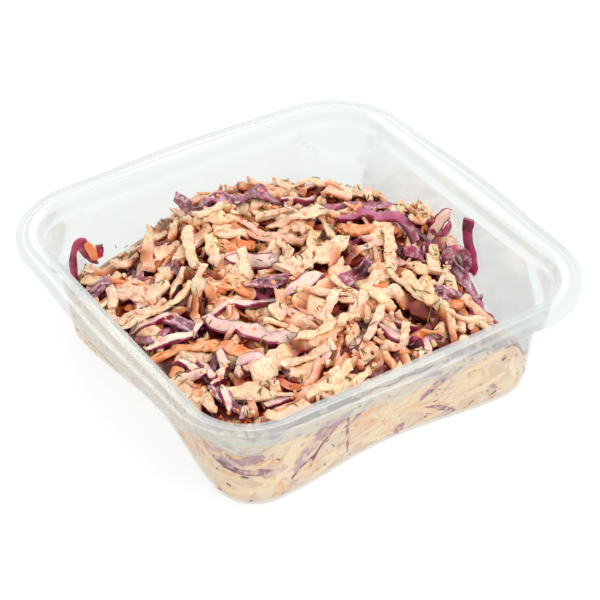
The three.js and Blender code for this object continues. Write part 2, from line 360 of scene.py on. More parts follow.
tub_points, tub_faces = skin(sheet_rings, (0, 0, 0), (0, 0, SHEET))
brim_share = smooth_step((tub_points[:, 2] - BRIM_START) / BRIM_BLEND)

clear_plastic, place = new_finish("clear_plastic")
sheer = place.node("BsdfTransparent", (), {"Color": linear(246, 248, 247)})
front_haze = place.node("BsdfDiffuse", (), {"Color": linear(238, 241, 239)})
back_haze = place.node("BsdfTranslucent", (), {"Color": linear(238, 241, 239)})
haze = place.node("MixShader", (), {0: 0.45, 1: front_haze, 2: back_haze})
slant = place.node("LayerWeight", (), {"Blend": 0.5}, "Facing")
brim = place.mark("brim")
cloud = place.noise(18, 1).rising(0.2, 0.8) * 0.02 + 0.05 + slant**3 * 0.2 + brim * BRIM_MILK
gloss = place.node("BsdfGlossy", (), {"Color": linear(255, 255, 255), "Roughness": 0.18})
shine = place.node("Fresnel", (), {"IOR": 1.42}) * 0.28
sheet_body = place.node("MixShader", (), {0: cloud, 1: sheer, 2: haze})
finished(place.node("MixShader", (), {0: shine, 1: sheet_body, 2: gloss}))

tub_body = {"points": tub_points, "faces": tub_faces, "marks": {"brim": brim_share}}
tub = make_piece("clear_tub", [tub_body], clear_plastic)
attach(tub, "root")
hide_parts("tub")


# ---- Broad slices of white cabbage -------------------------------------------------------
# The salad was tossed and tipped in, so its shreds lie every way across each other. Broad
# slices from a white head make up the bulk: flat and crisp, their ends cut square or
# slanting, creamy with dressing and pink where red cabbage has bled into it.
HEAP_LEVEL = 32.8  # its top, which sags beside the wall and falls away to the far corner
WALL_SAG = 2.2
WALL_SAG_REACH = 9
FAR_FALL = 16
FAR_FALL_START = 25
FAR_FALL_END = 72
# Its dips and rises: x, y, depth and reach.
HOLLOWS = [(56, -34, 22, 26), (-38, 56, 14, 26), (47, 2, -5, 13), (-38, 40, 2.5, 9)]
LOOSE_DEPTH = 5.6  # depth of the loose shreds over the pressed salad
EDGE_LOOSE = 0.35  # the share of that depth at the wall
CELL = 0.5  # the heap's height is kept on a grid of this pitch
GRID_HALF = 58.0
LUMP_HEIGHT = 0.5  # of the pressed salad's lumps
PRESS = 0.55  # how far a shred sinks into those under it
HIGHEST = TUB_HEIGHT - 1.4  # no shred's middle line stands over this
INTO_WALL = 0.2  # how far the salad reaches into the sheet, so that no gap shows
FLOW = math.radians(57)  # more shreds lie this way than across it
FALL_HALF = 53  # shreds fall this far out from the middle
TRIES = 5  # how many places are looked at for each
SHORT = 0.7  # the share of its length that is tried at the later ones
STEP = 0.8  # length of one stretch of a shred
# How many are tried, their sizes, and the room that one needs under the heap's top.
SLICE = {"count": 190, "long": (8, 20), "wide": (3, 5.6), "thick": (0.8, 1.4), "room": 1.4}
# Places where the heap stays open and dark: x, y and reach.
GAPS = [
    (-38, 14, 3), (-46, 27, 4), (-45, -35, 5), (-50, -16, 3.5), (-38, -24, 3), (3, -26, 2.6),
    (9, -40, 2.8), (33, -17, 2.4), (-11, -3, 3), (4, 21, 3), (-36, -4, 2.6), (20, 2, 2.4),
    (-34, -46, 2.4), (14, -29, 2.4), (-33, 26, 2.6), (-40, -3, 2),
]
MORE_GAPS = {"count": 18, "half": 46, "reach": (1.5, 2.4)}  # smaller ones at random
SEED = 20431

random = np.random.default_rng(SEED)
for n in range(MORE_GAPS["count"]):
    x, y = random.uniform(-MORE_GAPS["half"], MORE_GAPS["half"], 2)
    GAPS.append((x, y, random.uniform(*MORE_GAPS["reach"])))


def inner_face(z):
    """The rows of the tub's inner face at the given heights."""
    z = np.asarray(z, float)
    heights = INNER_FACE[:, 0]
    return np.stack([z, *[np.interp(z, heights, column) for column in INNER_FACE.T[1:]]], -1)


wall_half = inner_face(HEAP_LEVEL)[1]


def heap_level(x, y):
    """Height of the salad's top."""
    from_wall = wall_half - np.maximum(abs(x), abs(y))
    fall = smooth_step(((x + y) / math.sqrt(2) - FAR_FALL_START) / (FAR_FALL_END - FAR_FALL_START))
    level = HEAP_LEVEL - FAR_FALL * fall
    level = level - WALL_SAG * (1 - smooth_step(from_wall / WALL_SAG_REACH))
    for hollow_x, hollow_y, depth, reach in HOLLOWS:
        level = level - depth * np.exp(-((x - hollow_x) ** 2 + (y - hollow_y) ** 2) / reach**2)
    return level


def packed_level(x, y):
    """Height of the pressed salad under the loose shreds."""
    from_wall = wall_half - np.maximum(abs(x), abs(y))
    lumps = np.sin(0.7 * x + 1.9 * np.sin(0.31 * y)) + np.sin(0.63 * y + 2.3 * np.sin(0.27 * x + 1))
    loose = EDGE_LOOSE + (1 - EDGE_LOOSE) * smooth_step(from_wall / 2.5)
    return heap_level(x, y) - LOOSE_DEPTH * loose + LUMP_HEIGHT * lumps


grid_axis = np.arange(-GRID_HALF, GRID_HALF + CELL, CELL)
grid_x, grid_y = np.meshgrid(grid_axis, grid_axis, indexing="ij")
ground = packed_level(grid_x, grid_y)


def between(values, row, column):
    """What a grid of values holds at any places between its nodes."""
    row = np.clip(row, 0, values.shape[0] - 1.001)
    column = np.clip(column, 0, values.shape[1] - 1.001)
    i, j = row.astype(int), column.astype(int)
    s, t = [share.reshape(share.shape + (1,) * (values.ndim - 2)) for share in (row - i, column - j)]
    near = values[i, j] * (1 - s) + values[i + 1, j] * s
    far = values[i, j + 1] * (1 - s) + values[i + 1, j + 1] * s
    return near * (1 - t) + far * t


def on_grid(heights, x, y):
    return between(heights, (x + GRID_HALF) / CELL, (y + GRID_HALF) / CELL)


def in_tub(x, y, room):
    """Whether points keep that room to the plastic."""
    half, corner, bow = inner_face(heap_level(x, y)).T[1:4]
    straight = half - corner
    ax, ay = abs(x), abs(y)
    in_corner = (ax > straight) & (ay > straight)
    corner_gap = corner - np.hypot(ax - straight, ay - straight)
    gap = np.where(in_corner, corner_gap, half - np.maximum(ax, ay)) + np.minimum(bow, 0)
    return gap.min() > room


def off_wall(points):
    """How far points must go back to lie against the plastic, and no deeper than just into it."""
    half, corner, bow = np.moveaxis(inner_face(points[..., 2]), -1, 0)[1:4]
    straight = half - corner
    from_middle = abs(points[..., :2])
    bend = from_middle - straight[..., None]
    in_corner = bend.min(-1) > 0
    side_bow = bow * np.cos(QUARTER * np.clip(from_middle.min(-1) / straight, 0, 1)) ** 2
    side_gap = half + side_bow - from_middle.max(-1)
    reach = np.linalg.norm(bend, axis=-1)
    way = np.where(in_corner[..., None], bend / reach[..., None], bend == bend.max(-1)[..., None])
    gap = np.where(in_corner, corner - reach, side_gap)
    return np.minimum(gap + INTO_WALL, 0)[..., None] * way * np.sign(points[..., :2])


def clear_of(path, spots, room):
    """Whether a path keeps that room to every round spot."""
    return all(np.hypot(*(path - spot[:2]).T).min() > spot[2] + room for spot in spots)


def bent_path(x, y, heading, long, curl, kink=0):
    """The middle line of a shred seen from above: an arc with a kink somewhere along it."""
    steps = max(5, int(long / STEP) + 1)
    s = np.linspace(-0.5, 0.5, steps)
    angle = heading + curl * s + kink * (s > random.uniform(-0.3, 0.3))
    step = long / (steps - 1) * np.stack([np.cos(angle), np.sin(angle)], 1)
    path = np.cumsum(step, 0)
    return path - path[steps // 2] + (x, y)


def find_place(long, wide, curl, kink=0, spots=()):
    """Of a few places for a shred, the one that lies lowest under the heap's own top."""
    best, best_room = None, -99
    for attempt in range(TRIES):
        x, y = random.uniform(-FALL_HALF, FALL_HALF, 2)
        heading = random.uniform(0, 2 * math.pi)
        heading -= 0.3 * math.sin(2 * (heading - FLOW))
        cut = long * (1 if attempt < TRIES / 2 else SHORT)
        path = bent_path(x, y, heading, cut, curl, kink)
        if not in_tub(*path.T, wide * 0.4) or not clear_of(path, spots, wide / 2):
            continue
        room = (heap_level(*path.T) - on_grid(ground, *path.T)).mean()
        if room > best_room:
            best, best_room = path, room
    return best, best_room


def beam_over(s, support):
    """The tight string over the support's highest spots."""
    hull = []
    for i in range(len(s)):
        while len(hull) > 1:
            a, b = hull[-2], hull[-1]
            if (support[i] - support[a]) * (s[b] - s[a]) < (support[b] - support[a]) * (s[i] - s[a]):
                break
            hull.pop()
        hull.append(i)
    return np.interp(s, s[hull], support[hull])


def softened(values, passes):
    """Values in a row, each drawn towards its neighbours."""
    for turn in range(passes):
        values = np.convolve(np.pad(values, 1, "edge"), (0.25, 0.5, 0.25), "valid")
    return values


def unit(rows):
    """Each row as a direction of length 1."""
    return rows / np.linalg.norm(rows, axis=1)[:, None]


def let_down(path, wide, thick, give, lean=0, twist=0, spring=(0, 0)):
    """Rests a shred on the heap and raises the heap by it. Gives its line and where it faces."""
    heading = unit(np.gradient(path, axis=0))
    right = np.stack([heading[:, 1], -heading[:, 0]], 1)
    across = np.linspace(-0.45, 0.45, 5) * wide
    spots = path[:, None] + right[:, None] * across[None, :, None]
    under = on_grid(ground, spots[..., 0], spots[..., 1])
    support = 0.5 * under.max(1) + 0.5 * under.mean(1)
    s = np.linspace(0, 1, len(path))
    hanging = np.maximum(softened(support, 4), support - 0.8)
    middle = beam_over(s, support) * (1 - give) + hanging * give - PRESS + thick / 2
    middle = np.minimum(middle + spring[0] * (1 - s) ** 3 + spring[1] * s**3, HIGHEST)
    roll = np.clip(0.7 * softened(np.arctan2(under[:, 4] - under[:, 0], wide), 4), -0.7, 0.7)
    roll = roll + lean + twist * (s - 0.5)
    fine = np.linspace(0, 1, int(np.linalg.norm(path[-1] - path[0]) / 0.3) + 12)
    fine_path, fine_right = [
        np.stack([np.interp(fine, s, values[:, k]) for k in (0, 1)], 1) for values in (path, right)
    ]
    fine_top, fine_roll = np.interp(fine, s, middle) + thick / 2, np.interp(fine, s, roll)
    for offset in np.arange(-wide / 2, wide / 2 + 0.2, 0.3):
        spot = fine_path + fine_right * (offset * np.cos(fine_roll))[:, None]
        i, j = ((spot + GRID_HALF) / CELL + 0.5).astype(int).clip(0, len(grid_axis) - 1).T
        np.maximum.at(ground, (i, j), fine_top + offset * np.sin(fine_roll))
    facing = np.column_stack([-right * np.sin(roll)[:, None], np.cos(roll)])
    return np.column_stack([path, middle]), facing


TIP_SHARE = 0.35  # the share of a shred's length over which an end narrows
# Sections of a shred, as points across it and up it: cut square, thin as leaf, or rounded.
SQUARE_CUT = np.array([(-1, 0.4), (-0.8, 1), (0.8, 1), (1, 0.4)])
LEAF_CUT = np.array([
    (-1, 0), (-0.95, 0.8), (-0.7, 1), (-0.35, 1), (0, 1), (0.35, 1), (0.7, 1), (0.95, 0.8),
])
ROUND_CUT = np.array([(-1, 0), (-0.6, 0.9), (0.6, 0.9)])


def shred_body(
    line, facing, wide, thick, cup=0, tips=(0.6, 0.6), skew=(0, 0), ragged=0.1, section=SQUARE_CUT
):
    """A closed strip along a line: cupped, with uneven edges, and ends narrowed and cut askew."""
    steps = len(line)
    s = np.linspace(0, 1, steps)
    along = unit(np.gradient(line, axis=0))
    right = unit(np.cross(along, facing))
    up = np.cross(right, along)
    across, height = np.concatenate([section, -section]).T
    cup = cup if abs(cup) > 0.02 else 0.02
    near_start = np.clip(1 - s / TIP_SHARE, 0, 1) ** 1.4
    near_end = np.clip(1 - (1 - s) / TIP_SHARE, 0, 1) ** 1.4
    taper = 1 - (1 - tips[0]) * near_start - (1 - tips[1]) * near_end
    uneven = [1 + ragged * softened(random.normal(0, 1.6, steps), 1) for edge in range(3)]
    left_edge, right_edge, depth = uneven
    width = taper[:, None] * np.where(across < 0, left_edge[:, None], right_edge[:, None])
    skin_up = (depth * (0.45 + 0.55 * np.sqrt(taper)))[:, None] * thick / 2 * height
    x = width * wide / 2 / cup * np.sin(cup * across) + skin_up * np.sin(cup * across)
    z = width * wide / 2 / cup * (np.cos(cup * across) - 1) + skin_up * np.cos(cup * across)
    z = z + 0.5 * ragged * thick * random.normal(0, 1, z.shape)
    cut = wide / 2 * across * (skew[0] * near_start[:, None] + skew[1] * near_end[:, None])
    points = line[:, None] + right[:, None] * x[..., None] + up[:, None] * z[..., None]
    points = points + along[:, None] * cut[..., None]
    back = off_wall(points)
    furthest = np.linalg.norm(back, axis=2).argmax(1)
    points[..., :2] += back[np.arange(steps), furthest][:, None]
    points, faces = skin(points, points[0].mean(0), points[-1].mean(0))
    edge = np.append(np.tile(smooth_step((abs(across) - 0.6) / 0.35), steps), (0.5, 0.5))
    return {"points": points, "faces": faces, "marks": {"tone": random.uniform(0, 1), "edge": edge}}


def white_shred(path, wide, thick, darkest=1):
    """A shred of white cabbage that lies on the heap, with ends that may spring up."""
    spring = random.choice((0, 0, 1, 2.4), 2)
    lean, twist = random.normal(0, 0.25), random.normal(0, 0.7)
    line, facing = let_down(path, wide, thick, random.uniform(0.3, 0.9), lean, twist, spring)
    tips, skew = random.uniform(0.45, 1, 2), random.uniform(-0.7, 0.7, 2)
    body = shred_body(line, facing, wide, thick, random.uniform(-0.8, 0.8), tips, skew, 0.16)
    body["marks"]["tone"] *= darkest
    return body


def drawn(kind, *sizes):
    """A shred's sizes, each drawn at random from the range of its kind."""
    return [random.uniform(*kind[size]) for size in sizes]


slice_bodies = []
for n in range(SLICE["count"]):
    long, wide, thick = drawn(SLICE, "long", "wide", "thick")
    path, room = find_place(long, wide, random.normal(0, 0.4), random.normal(0, 0.2), GAPS)
    if path is not None and room > SLICE["room"]:
        slice_bodies.append(white_shred(path, wide, thick))

white_cabbage, place = new_finish("dressed_white_cabbage")
tone = place.mark("tone")
sunk = place.mark("sunk")
tones = [
    (0, linear(241, 212, 163)),
    (0.5, linear(244, 214, 181)),
    (0.8, linear(241, 199, 165)),
    (1, linear(231, 174, 162)),
]
leaf = place.node("ValToRGB", {"stops": tones}, {0: tone})
blush = place.noise(9, 2).rising(0.48, 0.66) * 0.55
leaf = blush.tint(leaf, linear(232, 182, 168))
# Pale patches over the whites are painted highlights.
leaf = (place.noise(3, 2, 0.5).rising(0.5, 0.75) * 0.5).tint(leaf, linear(247, 217, 184))
leaf = (place.noise(1.5, 2, 0.6).rising(0.52, 0.66) * 0.6).tint(leaf, linear(228, 152, 102))
carrot_fleck = place.noise(0.8, 1, 0.3).rising(0.64, 0.7) * 0.5
leaf = carrot_fleck.tint(leaf, linear(226, 124, 62))
dill_fleck = place.noise(0.55, 1, 0.8).rising(0.69, 0.74) * 0.6
leaf = dill_fleck.tint(leaf, linear(120, 96, 48))
# Deep between the shreds the colour goes orange-brown, then dark maroon: partly juice stain, partly
# painted shade.
leaf = sunk.rising(0, 0.5).tint(leaf, linear(214, 134, 84))
leaf = sunk.rising(0.4, 0.95).tint(leaf, linear(128, 32, 10))
white_paint = {
    "Base Color": leaf,
    "Roughness": place.noise(3, 1).rising(0.3, 0.7) * 0.15 + 0.3,
    "Coat Weight": 0.25,
    "Coat Roughness": 0.2,
    "Subsurface Weight": 0.4,
    "Subsurface Scale": 1.2 * MM,
    "Normal": place.noise(1.4, 2).bump(0.35, 0.7),
}
finished(place.node("BsdfPrincipled", (), white_paint))

slices = make_piece("white_cabbage_slices", slice_bodies, white_cabbage)
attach(slices, "root")
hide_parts("coleslaw")


# ---- Red cabbage leaf --------------------------------------------------------------------
# Torn bits of the purple outer leaf, thin and curled up. Their skin is dark and waxy under a
# grey-lilac film of dressing. The largest are placed one by one: where the middle lies,
# heading, length, curl, width and how far it is rolled up.
LEAF_THICK = 0.9
LEAVES = [
    (7, 35, -22, 20, 0.2, 9, 0.5),
    (-2, 38, -60, 12, 0.4, 7, 1.6),
    (-35, 20, -110, 11, 0.2, 4, 1.2),
    (-22, 16, -80, 7, 0.5, 4, 1.8),
    (-39, -3, -60, 11, 0.6, 5, 1.6),
    (13, -10, 15, 15, 0.5, 4.5, 1.4),
    (32, -4, -53, 7, -0.6, 4.5, 1.6),
    (35, -8, -28, 7, -1.3, 5, 1.8),
    (32, -25, -119, 9, 0, 4, 1.6),
    (-33, 30, -109, 9, 0, 4, 1.4),
    (-26, 21, -101, 8, 0, 4, 1.4),
    (-47, -2, -24, 10, 1, 3, 1.4),
    (-46, 28, 21, 9, 0.6, 5, 1.6),
    (42, -5, -60, 9, 0.9, 5, 2),
    (46, -14, -75, 9, 0.9, 6, 1.8),
    (48, -20, -100, 8, -0.7, 5, 2),
    (44, -22, -30, 8, 0.9, 5, 2.2),
    (46, -28, -60, 9, 0.8, 6, 1.8),
    (42, -30, 10, 7, 0.8, 4, 2),
    (36, -24, -30, 11, 0.5, 5, 1.4),
    (38, 16, -40, 12, 0.3, 5, 1),
    (-9, -1, -20, 11, 0.3, 5, 1.6),
    (-45, -36, -80, 12, 0.5, 6, 1.4),
    (-45, 29, -10, 10, 0, 5, 1.2),
    (5, 20, -30, 9, 0.4, 4, 1.5),
    (-12, 11, 0, 7, 0.3, 4, 1.4),
    (26, 20, -25, 12, 0.3, 4, 1.0),
]
LEAF = {"count": 46, "long": (4, 12), "wide": (2, 4.4), "cup": (0.6, 2.0)}

# Small dark bits that lie in the open places.
GAP_LEAF = {"count": 2, "long": (4, 8), "wide": (1.6, 3), "cup": (1, 2)}

leaf_bodies = []
kept_clear = list(GAPS)


def leave_in_sight(path, reach):
    """Marks places along a piece that the white strips keep off."""
    kept_clear.extend((*spot, reach) for spot in path[1:-1:2])


def lay_leaf(path, wide, cup):
    line, facing = let_down(path, wide * 0.6, LEAF_THICK + 1, 0.6, random.normal(0, 0.3))
    tips, skew = random.uniform(0.3, 0.9, 2), random.uniform(-0.8, 0.8, 2)
    leaf_bodies.append(shred_body(line, facing, wide, LEAF_THICK, cup, tips, skew, 0.14, LEAF_CUT))


for n in range(LEAF["count"]):
    long, wide = drawn(LEAF, "long", "wide")
    path, room = find_place(long, wide * 0.6, random.uniform(-1.2, 1.2), random.uniform(-0.6, 0.6))
    if path is not None:
        lay_leaf(path, wide, random.uniform(*LEAF["cup"]) * random.choice((-1, 1)))
for x, y, reach in GAPS:
    for n in range(GAP_LEAF["count"]):
        spot, heading = random.normal((x, y), 0.7 * reach), random.uniform(0, 6.3)
        path = bent_path(*spot, heading, random.uniform(*GAP_LEAF["long"]), 1)
        if in_tub(*path.T, 1.5):
            lay_leaf(path, *drawn(GAP_LEAF, "wide", "cup"))
for x, y, heading, long, curl, wide, cup in LEAVES:
    path = bent_path(x, y, math.radians(heading), long, curl)
    lay_leaf(path, wide, cup * random.choice((-1, -1, 1)))
    leaf_bodies[-1]["marks"]["tone"] = 0.5 + 0.7 * leaf_bodies[-1]["marks"]["tone"]
    leave_in_sight(path, wide * 0.4)


def curve_through(spots, steps=14):
    """A smooth line through a few places."""
    spots = np.array(spots, float)
    way = np.linspace(0, len(spots) - 1, steps)
    line = [np.interp(way, np.arange(len(spots)), column) for column in spots.T]
    return np.stack([softened(column, 2) for column in line], 1)


# Leaves that stand up out of the heap: the middle line, where it faces, width, cup and tone.
STANDING_LEAVES = [
    ([(-48.7, 39.3, 20), (-49.1, 39.4, 26), (-48.9, 39.3, 31), (-48.3, 38.9, 34.2),
      (-47, 38.1, 36.4), (-45.8, 37.3, 37), (-45, 36.9, 36)], (-0.6, -0.8, 0), 2, 0.6, 0),
    ([(-46.9, 38.2, 35.8), (-46.2, 37.8, 33.4), (-45.4, 37.4, 31.3), (-44, 36.4, 29.8),
      (-43, 35.7, 29.6)], (-0.6, -0.8, 0.2), 2.8, 0.8, 0.2),
    ([(-42.6, 35, 35.2), (-42.3, 34.8, 33.3), (-42.5, 34.9, 31)], (-0.6, -0.8, 0.2), 2, 0.8, 0),
    ([(52.2, -10.7, 33.8), (52.3, -10.6, 29.5), (52.3, -12.8, 25.5), (52, -15.9, 21.4),
      (51.6, -17.9, 19)], (-0.8, -0.5, 0.1), 3.2, 0.4, 0),
    ([(-8, 43, 27), (-9, 43.5, 30), (-11, 44, 32.5), (-12.5, 44.5, 35)],
     (-0.5, -0.8, 0.1), 3.8, 0.9, 1.4),
    ([(-6, 40, 27), (-5.5, 39.6, 31), (-4, 38.6, 34.6)], (-0.7, -0.7, 0.2), 4, 1.2, 0.9),
    ([(43, -6.5, 32), (43.6, -7, 30), (45.1, -8.1, 28.6), (46.5, -9, 30.3), (46.1, -8.8, 33.5)],
     (0.1, -0.5, -0.4), 3.4, 0.6, 0.3),
    ([(43.4, -11.9, 21), (43.7, -12, 26), (45.6, -13.2, 27.8), (47.8, -14.6, 26.5),
      (48.9, -15.3, 22.5), (49, -15.6, 18)], (-0.9, -0.6, 0.5), 3.4, 0.5, 0.8),
]
for spots, facing, wide, cup, tone in STANDING_LEAVES:
    line = curve_through(spots)
    body = shred_body(line, np.array(facing), wide, LEAF_THICK, cup, (1, 0.6), (0, 0.4), 0.14, LEAF_CUT)
    body["marks"]["tone"] = tone
    leaf_bodies.append(body)

purple_leaf, place = new_finish("purple_leaf")
sunk = place.mark("sunk")
tone = place.mark("tone")
skin_colour = place.noise(4, 2).rising(0.3, 0.7).tint(linear(92, 18, 46), linear(180, 42, 92))
film = place.noise(1.8, 3, 0.8).rising(0.44, 0.64) * 0.8 + tone * 0.15
# Deep between the shreds the film fades and the leaf is painted dark: partly juice, partly painted
# shade.
film = film * (1 - sunk) * (tone * 0.9 + 0.05)
leaf_colour = film.tint(skin_colour, linear(220, 186, 192))
leaf_colour = (sunk * 0.8).tint(leaf_colour, linear(60, 12, 12))
leaf_paint = {
    "Base Color": leaf_colour,
    "Roughness": 0.28,
    "Coat Weight": 0.4,
    "Coat Roughness": 0.15,
    "Normal": place.noise(1.3, 3).bump(0.45, 0.8),
}
finished(place.node("BsdfPrincipled", (), leaf_paint))

leaves = make_piece("red_cabbage_leaves", leaf_bodies, purple_leaf)
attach(leaves, "root")
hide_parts("coleslaw")


# ---- Carrot ------------------------------------------------------------------------------
# Carrot grated into fine threads and crumbs that lie in clumps, with a few coarser strips.
# It is bright where it is bare and peach-coloured under the dressing.
CLUMPS = {"count": 34, "threads": 8, "crumbs": 10, "spread": 2.2}
THREAD = {"long": (2, 8), "wide": (0.7, 1.3), "thick": 0.8}
CRUMB = (0.5, 1.3)  # the least and the greatest
CARROT_THICK = 1.5
# The coarser strips: where the middle lies, heading, length, curl and width.
CARROTS = [
    (-12, 19, -62, 9, -0.3, 5.5),
    (-6, 16, -20, 5, 0, 3),
    (-20, 1, -35, 10, 0, 2.6),
    (-37, -16, -46, 34, -1.2, 3.4),
    (14, -18, -20, 8, 0, 3.4),
    (32, -18, 0, 4, 0, 3),
    (36, -28, 16, 4, 0, 3),
    (-31, 22, -112, 6, 0, 3),
    (-44, 11, -81, 9, -1.3, 2.4),
    (25, 5, -45, 9, 0, 4),
    (33, 2, -50, 7, 0, 3),
    (17, -42, 0, 8, 0, 3),
    (23, -46, -60, 4, 0, 3),
    (-28, -40, -50, 8, 0, 1.6),
    (-49, -19, -90, 6, 0, 4),
    (-31, 20, -90, 6, 0, 2.6),
    (-40, 27, -40, 7, 0, 2.6),
]

# Twelve even directions, the corners of a lump.
GOLDEN = (1 + math.sqrt(5)) / 2
LUMP_CORNERS = np.array([
    corner
    for a in (-1, 1)
    for b in (-GOLDEN, GOLDEN)
    for corner in ((0, a, b), (a, b, 0), (b, 0, a))
]) / math.hypot(1, GOLDEN)
LUMP_FACES = np.array([
    (i, j, k) if np.linalg.det(LUMP_CORNERS[[i, j, k]]) > 0 else (i, k, j)
    for i in range(12)
    for j in range(i + 1, 12)
    for k in range(j + 1, 12)
    if max(np.linalg.norm(LUMP_CORNERS[[i, j, k]] - LUMP_CORNERS[[j, k, i]], axis=1)) < 1.2
])


def lump_body(x, y, size):
    """An uneven crumb that lies on the heap."""
    stretch = random.uniform(0.6, 1.3, 3) * size / 2
    corners = LUMP_CORNERS * random.uniform(0.75, 1.2, (12, 1))
    turned, _ = np.linalg.qr(random.normal(0, 1, (3, 3)))
    turned *= np.sign(np.linalg.det(turned))
    points = corners * stretch @ turned
    middle = on_grid(ground, np.array([x]), np.array([y]))[0] + 0.2 * size
    marks = {"tone": 0.4 + 0.6 * random.uniform(0, 1), "edge": 0}
    return {"points": points + (x, y, middle), "faces": LUMP_FACES, "marks": marks}


carrot_bodies = []
for clump in range(CLUMPS["count"]):
    middle, _ = find_place(4, 3, 0)
    if middle is None:
        continue
    for n in range(CLUMPS["threads"]):
        long, wide = drawn(THREAD, "long", "wide")
        x, y = middle[0] + random.normal(0, CLUMPS["spread"], 2)
        path = bent_path(x, y, random.uniform(0, 6.3), long, random.uniform(-1.4, 1.4))
        if not in_tub(*path.T, 0.8):
            continue
        line, facing = let_down(path, wide, THREAD["thick"], 0.7, random.uniform(-0.4, 0.4))
        tips = random.uniform(0.3, 0.8, 2)
        body = shred_body(line, facing, wide, THREAD["thick"], 0, tips, (0, 0), 0.12, ROUND_CUT)
        carrot_bodies.append(body)
for x, y, heading, long, curl, wide in CARROTS:
    path = bent_path(x, y, math.radians(heading), long, curl)
    line, facing = let_down(path, wide, CARROT_THICK, 0.5, random.normal(0, 0.15))
    tips = random.uniform(0.5, 0.9, 2)
    body = shred_body(line, facing, wide, CARROT_THICK, 0.3, tips, (0.3, -0.3), 0.14)
    body["marks"]["tone"] = random.uniform(0, 0.6)
    carrot_bodies.append(body)
    leave_in_sight(path, wide * 0.3)

# A slice that hangs in the loop of red cabbage at the left.
HANGING = [(-46, 36.4, 36.8), (-44.9, 35.7, 35), (-44.1, 35.2, 32.5), (-43.6, 34.9, 30.6)]
line = curve_through(HANGING, 8)
hanging = shred_body(line, np.array((-0.6, -0.8, 0.2)), 2.4, CARROT_THICK, 0.3, (0.6, 0.5))
hanging["marks"]["tone"] = 0
carrot_bodies.append(hanging)

carrot_finish, place = new_finish("grated_carrot")
tone = place.mark("tone")
sunk = place.mark("sunk")
flesh = tone.tint(linear(236, 116, 44), linear(246, 156, 88))
# Deep between the shreds the film fades and the carrot is painted darker: partly juice, partly painted
# shade.
film = place.noise(2.2, 2, 0.5).rising(0.4, 0.58) * (1 - sunk) * (tone * 0.6 + 0.25)
carrot_colour = film.tint(flesh, linear(248, 200, 156))
carrot_colour = (sunk * 0.6).tint(carrot_colour, linear(150, 52, 20))
carrot_paint = {
    "Base Color": carrot_colour,
    "Roughness": 0.35,
    "Coat Weight": 0.25,
    "Coat Roughness": 0.2,
    "Normal": place.noise(1.0, 2).bump(0.15, 0.5),
}
finished(place.node("BsdfPrincipled", (), carrot_paint))


# ---- Red cabbage ribbons -----------------------------------------------------------------
# Long shreds sliced across a red head. Their cut face is pale and lilac from the dressing,
# and the leaf's two skins show as dark magenta lines along its edges. The longest are placed
# one by one: where the middle lies, heading, length, curl and width.
RIBBONS = [
    (-24, -5, -5, 28, -1.3, 2.4),
    (-25, -20, -50, 32, 0.9, 5.5),
    (-4, -10, 12, 13, 0.3, 5),
    (-8, 9, -10, 15, 0.2, 5),
    (-44, 2, -12, 14, 0.3, 2.6),
    (-44, -6, -15, 13, -0.4, 3),
    (-43, -24, -95, 9, 0, 3),
    (-47, -23, -40, 8, 0, 2.6),
    (-32, -29, -50, 8, 0.2, 5),
    (-45, -36, -110, 9, 0.6, 2.4),
    (-36, -47, -25, 7, 0, 3),
    (7, -38, -70, 9, 0.2, 5),
    (-3, -36, 35, 12, 0, 2.6),
    (2, -24, 0, 7, 0.2, 2.4),
    (42, 42, -35, 12, 0.2, 3.5),
    (20, 29, -30, 10, 0, 3.4),
    (-27, 40, -30, 8, 0, 3),
]
# One sliced just under the skin, so its face is mauve throughout.
MAUVE = (34, 7, -45, 26, -1.8, 3.4)
RIBBON = {"count": 22, "long": (7, 16), "wide": (1.8, 3.2)}
RIBBON_THICK = 1.8

ribbon_bodies = []


def lay_ribbon(path, wide, ragged):
    line, facing = let_down(path, wide, RIBBON_THICK, 0.45, random.normal(0, 0.2))
    tips, skew = random.uniform(0.35, 0.8, 2), random.uniform(-0.5, 0.5, 2)
    body = shred_body(line, facing, wide, RIBBON_THICK, 0.3, tips, skew, ragged, LEAF_CUT)
    ribbon_bodies.append(body)


for n in range(RIBBON["count"]):
    long, wide = drawn(RIBBON, "long", "wide")
    path, room = find_place(long, wide, random.uniform(-1.2, 1.2), random.normal(0, 0.2))
    if path is not None:
        lay_ribbon(path, wide, 0.1)
for x, y, heading, long, curl, wide in RIBBONS + [MAUVE]:
    path = bent_path(x, y, math.radians(heading), long, curl)
    lay_ribbon(path, wide, 0.07)
    leave_in_sight(path, wide * 0.35)
ribbon_bodies[-1]["marks"]["tone"] = -0.6

# One that stands up at the right.
STANDING = [(42, -5, 27), (43.4, -6.9, 32), (44.6, -7.7, 35.2), (45.9, -8.5, 37), (47, -9.2, 36.6)]
line, facing = curve_through(STANDING, 18), np.array((-0.5, -0.8, 0.4))
ribbon_bodies.append(
    shred_body(line, facing, 3.4, 1, 0.4, (0.8, 0.6), (0, 0), 0.12, LEAF_CUT)
)

ribbon_finish, place = new_finish("red_cabbage_cut")
tone = place.mark("tone")
edge = place.mark("edge")
sunk = place.mark("sunk")
flesh = tone.tint(linear(230, 190, 178), linear(246, 216, 194))
flesh = tone.rising(-0.6, 0).tint(linear(178, 84, 116), flesh)
flesh = (place.noise(3, 2, 0.5).rising(0.5, 0.7) * 0.6).tint(flesh, linear(194, 124, 150))
ribbon_colour = edge.rising(0.1, 0.5).tint(flesh, linear(136, 22, 56))
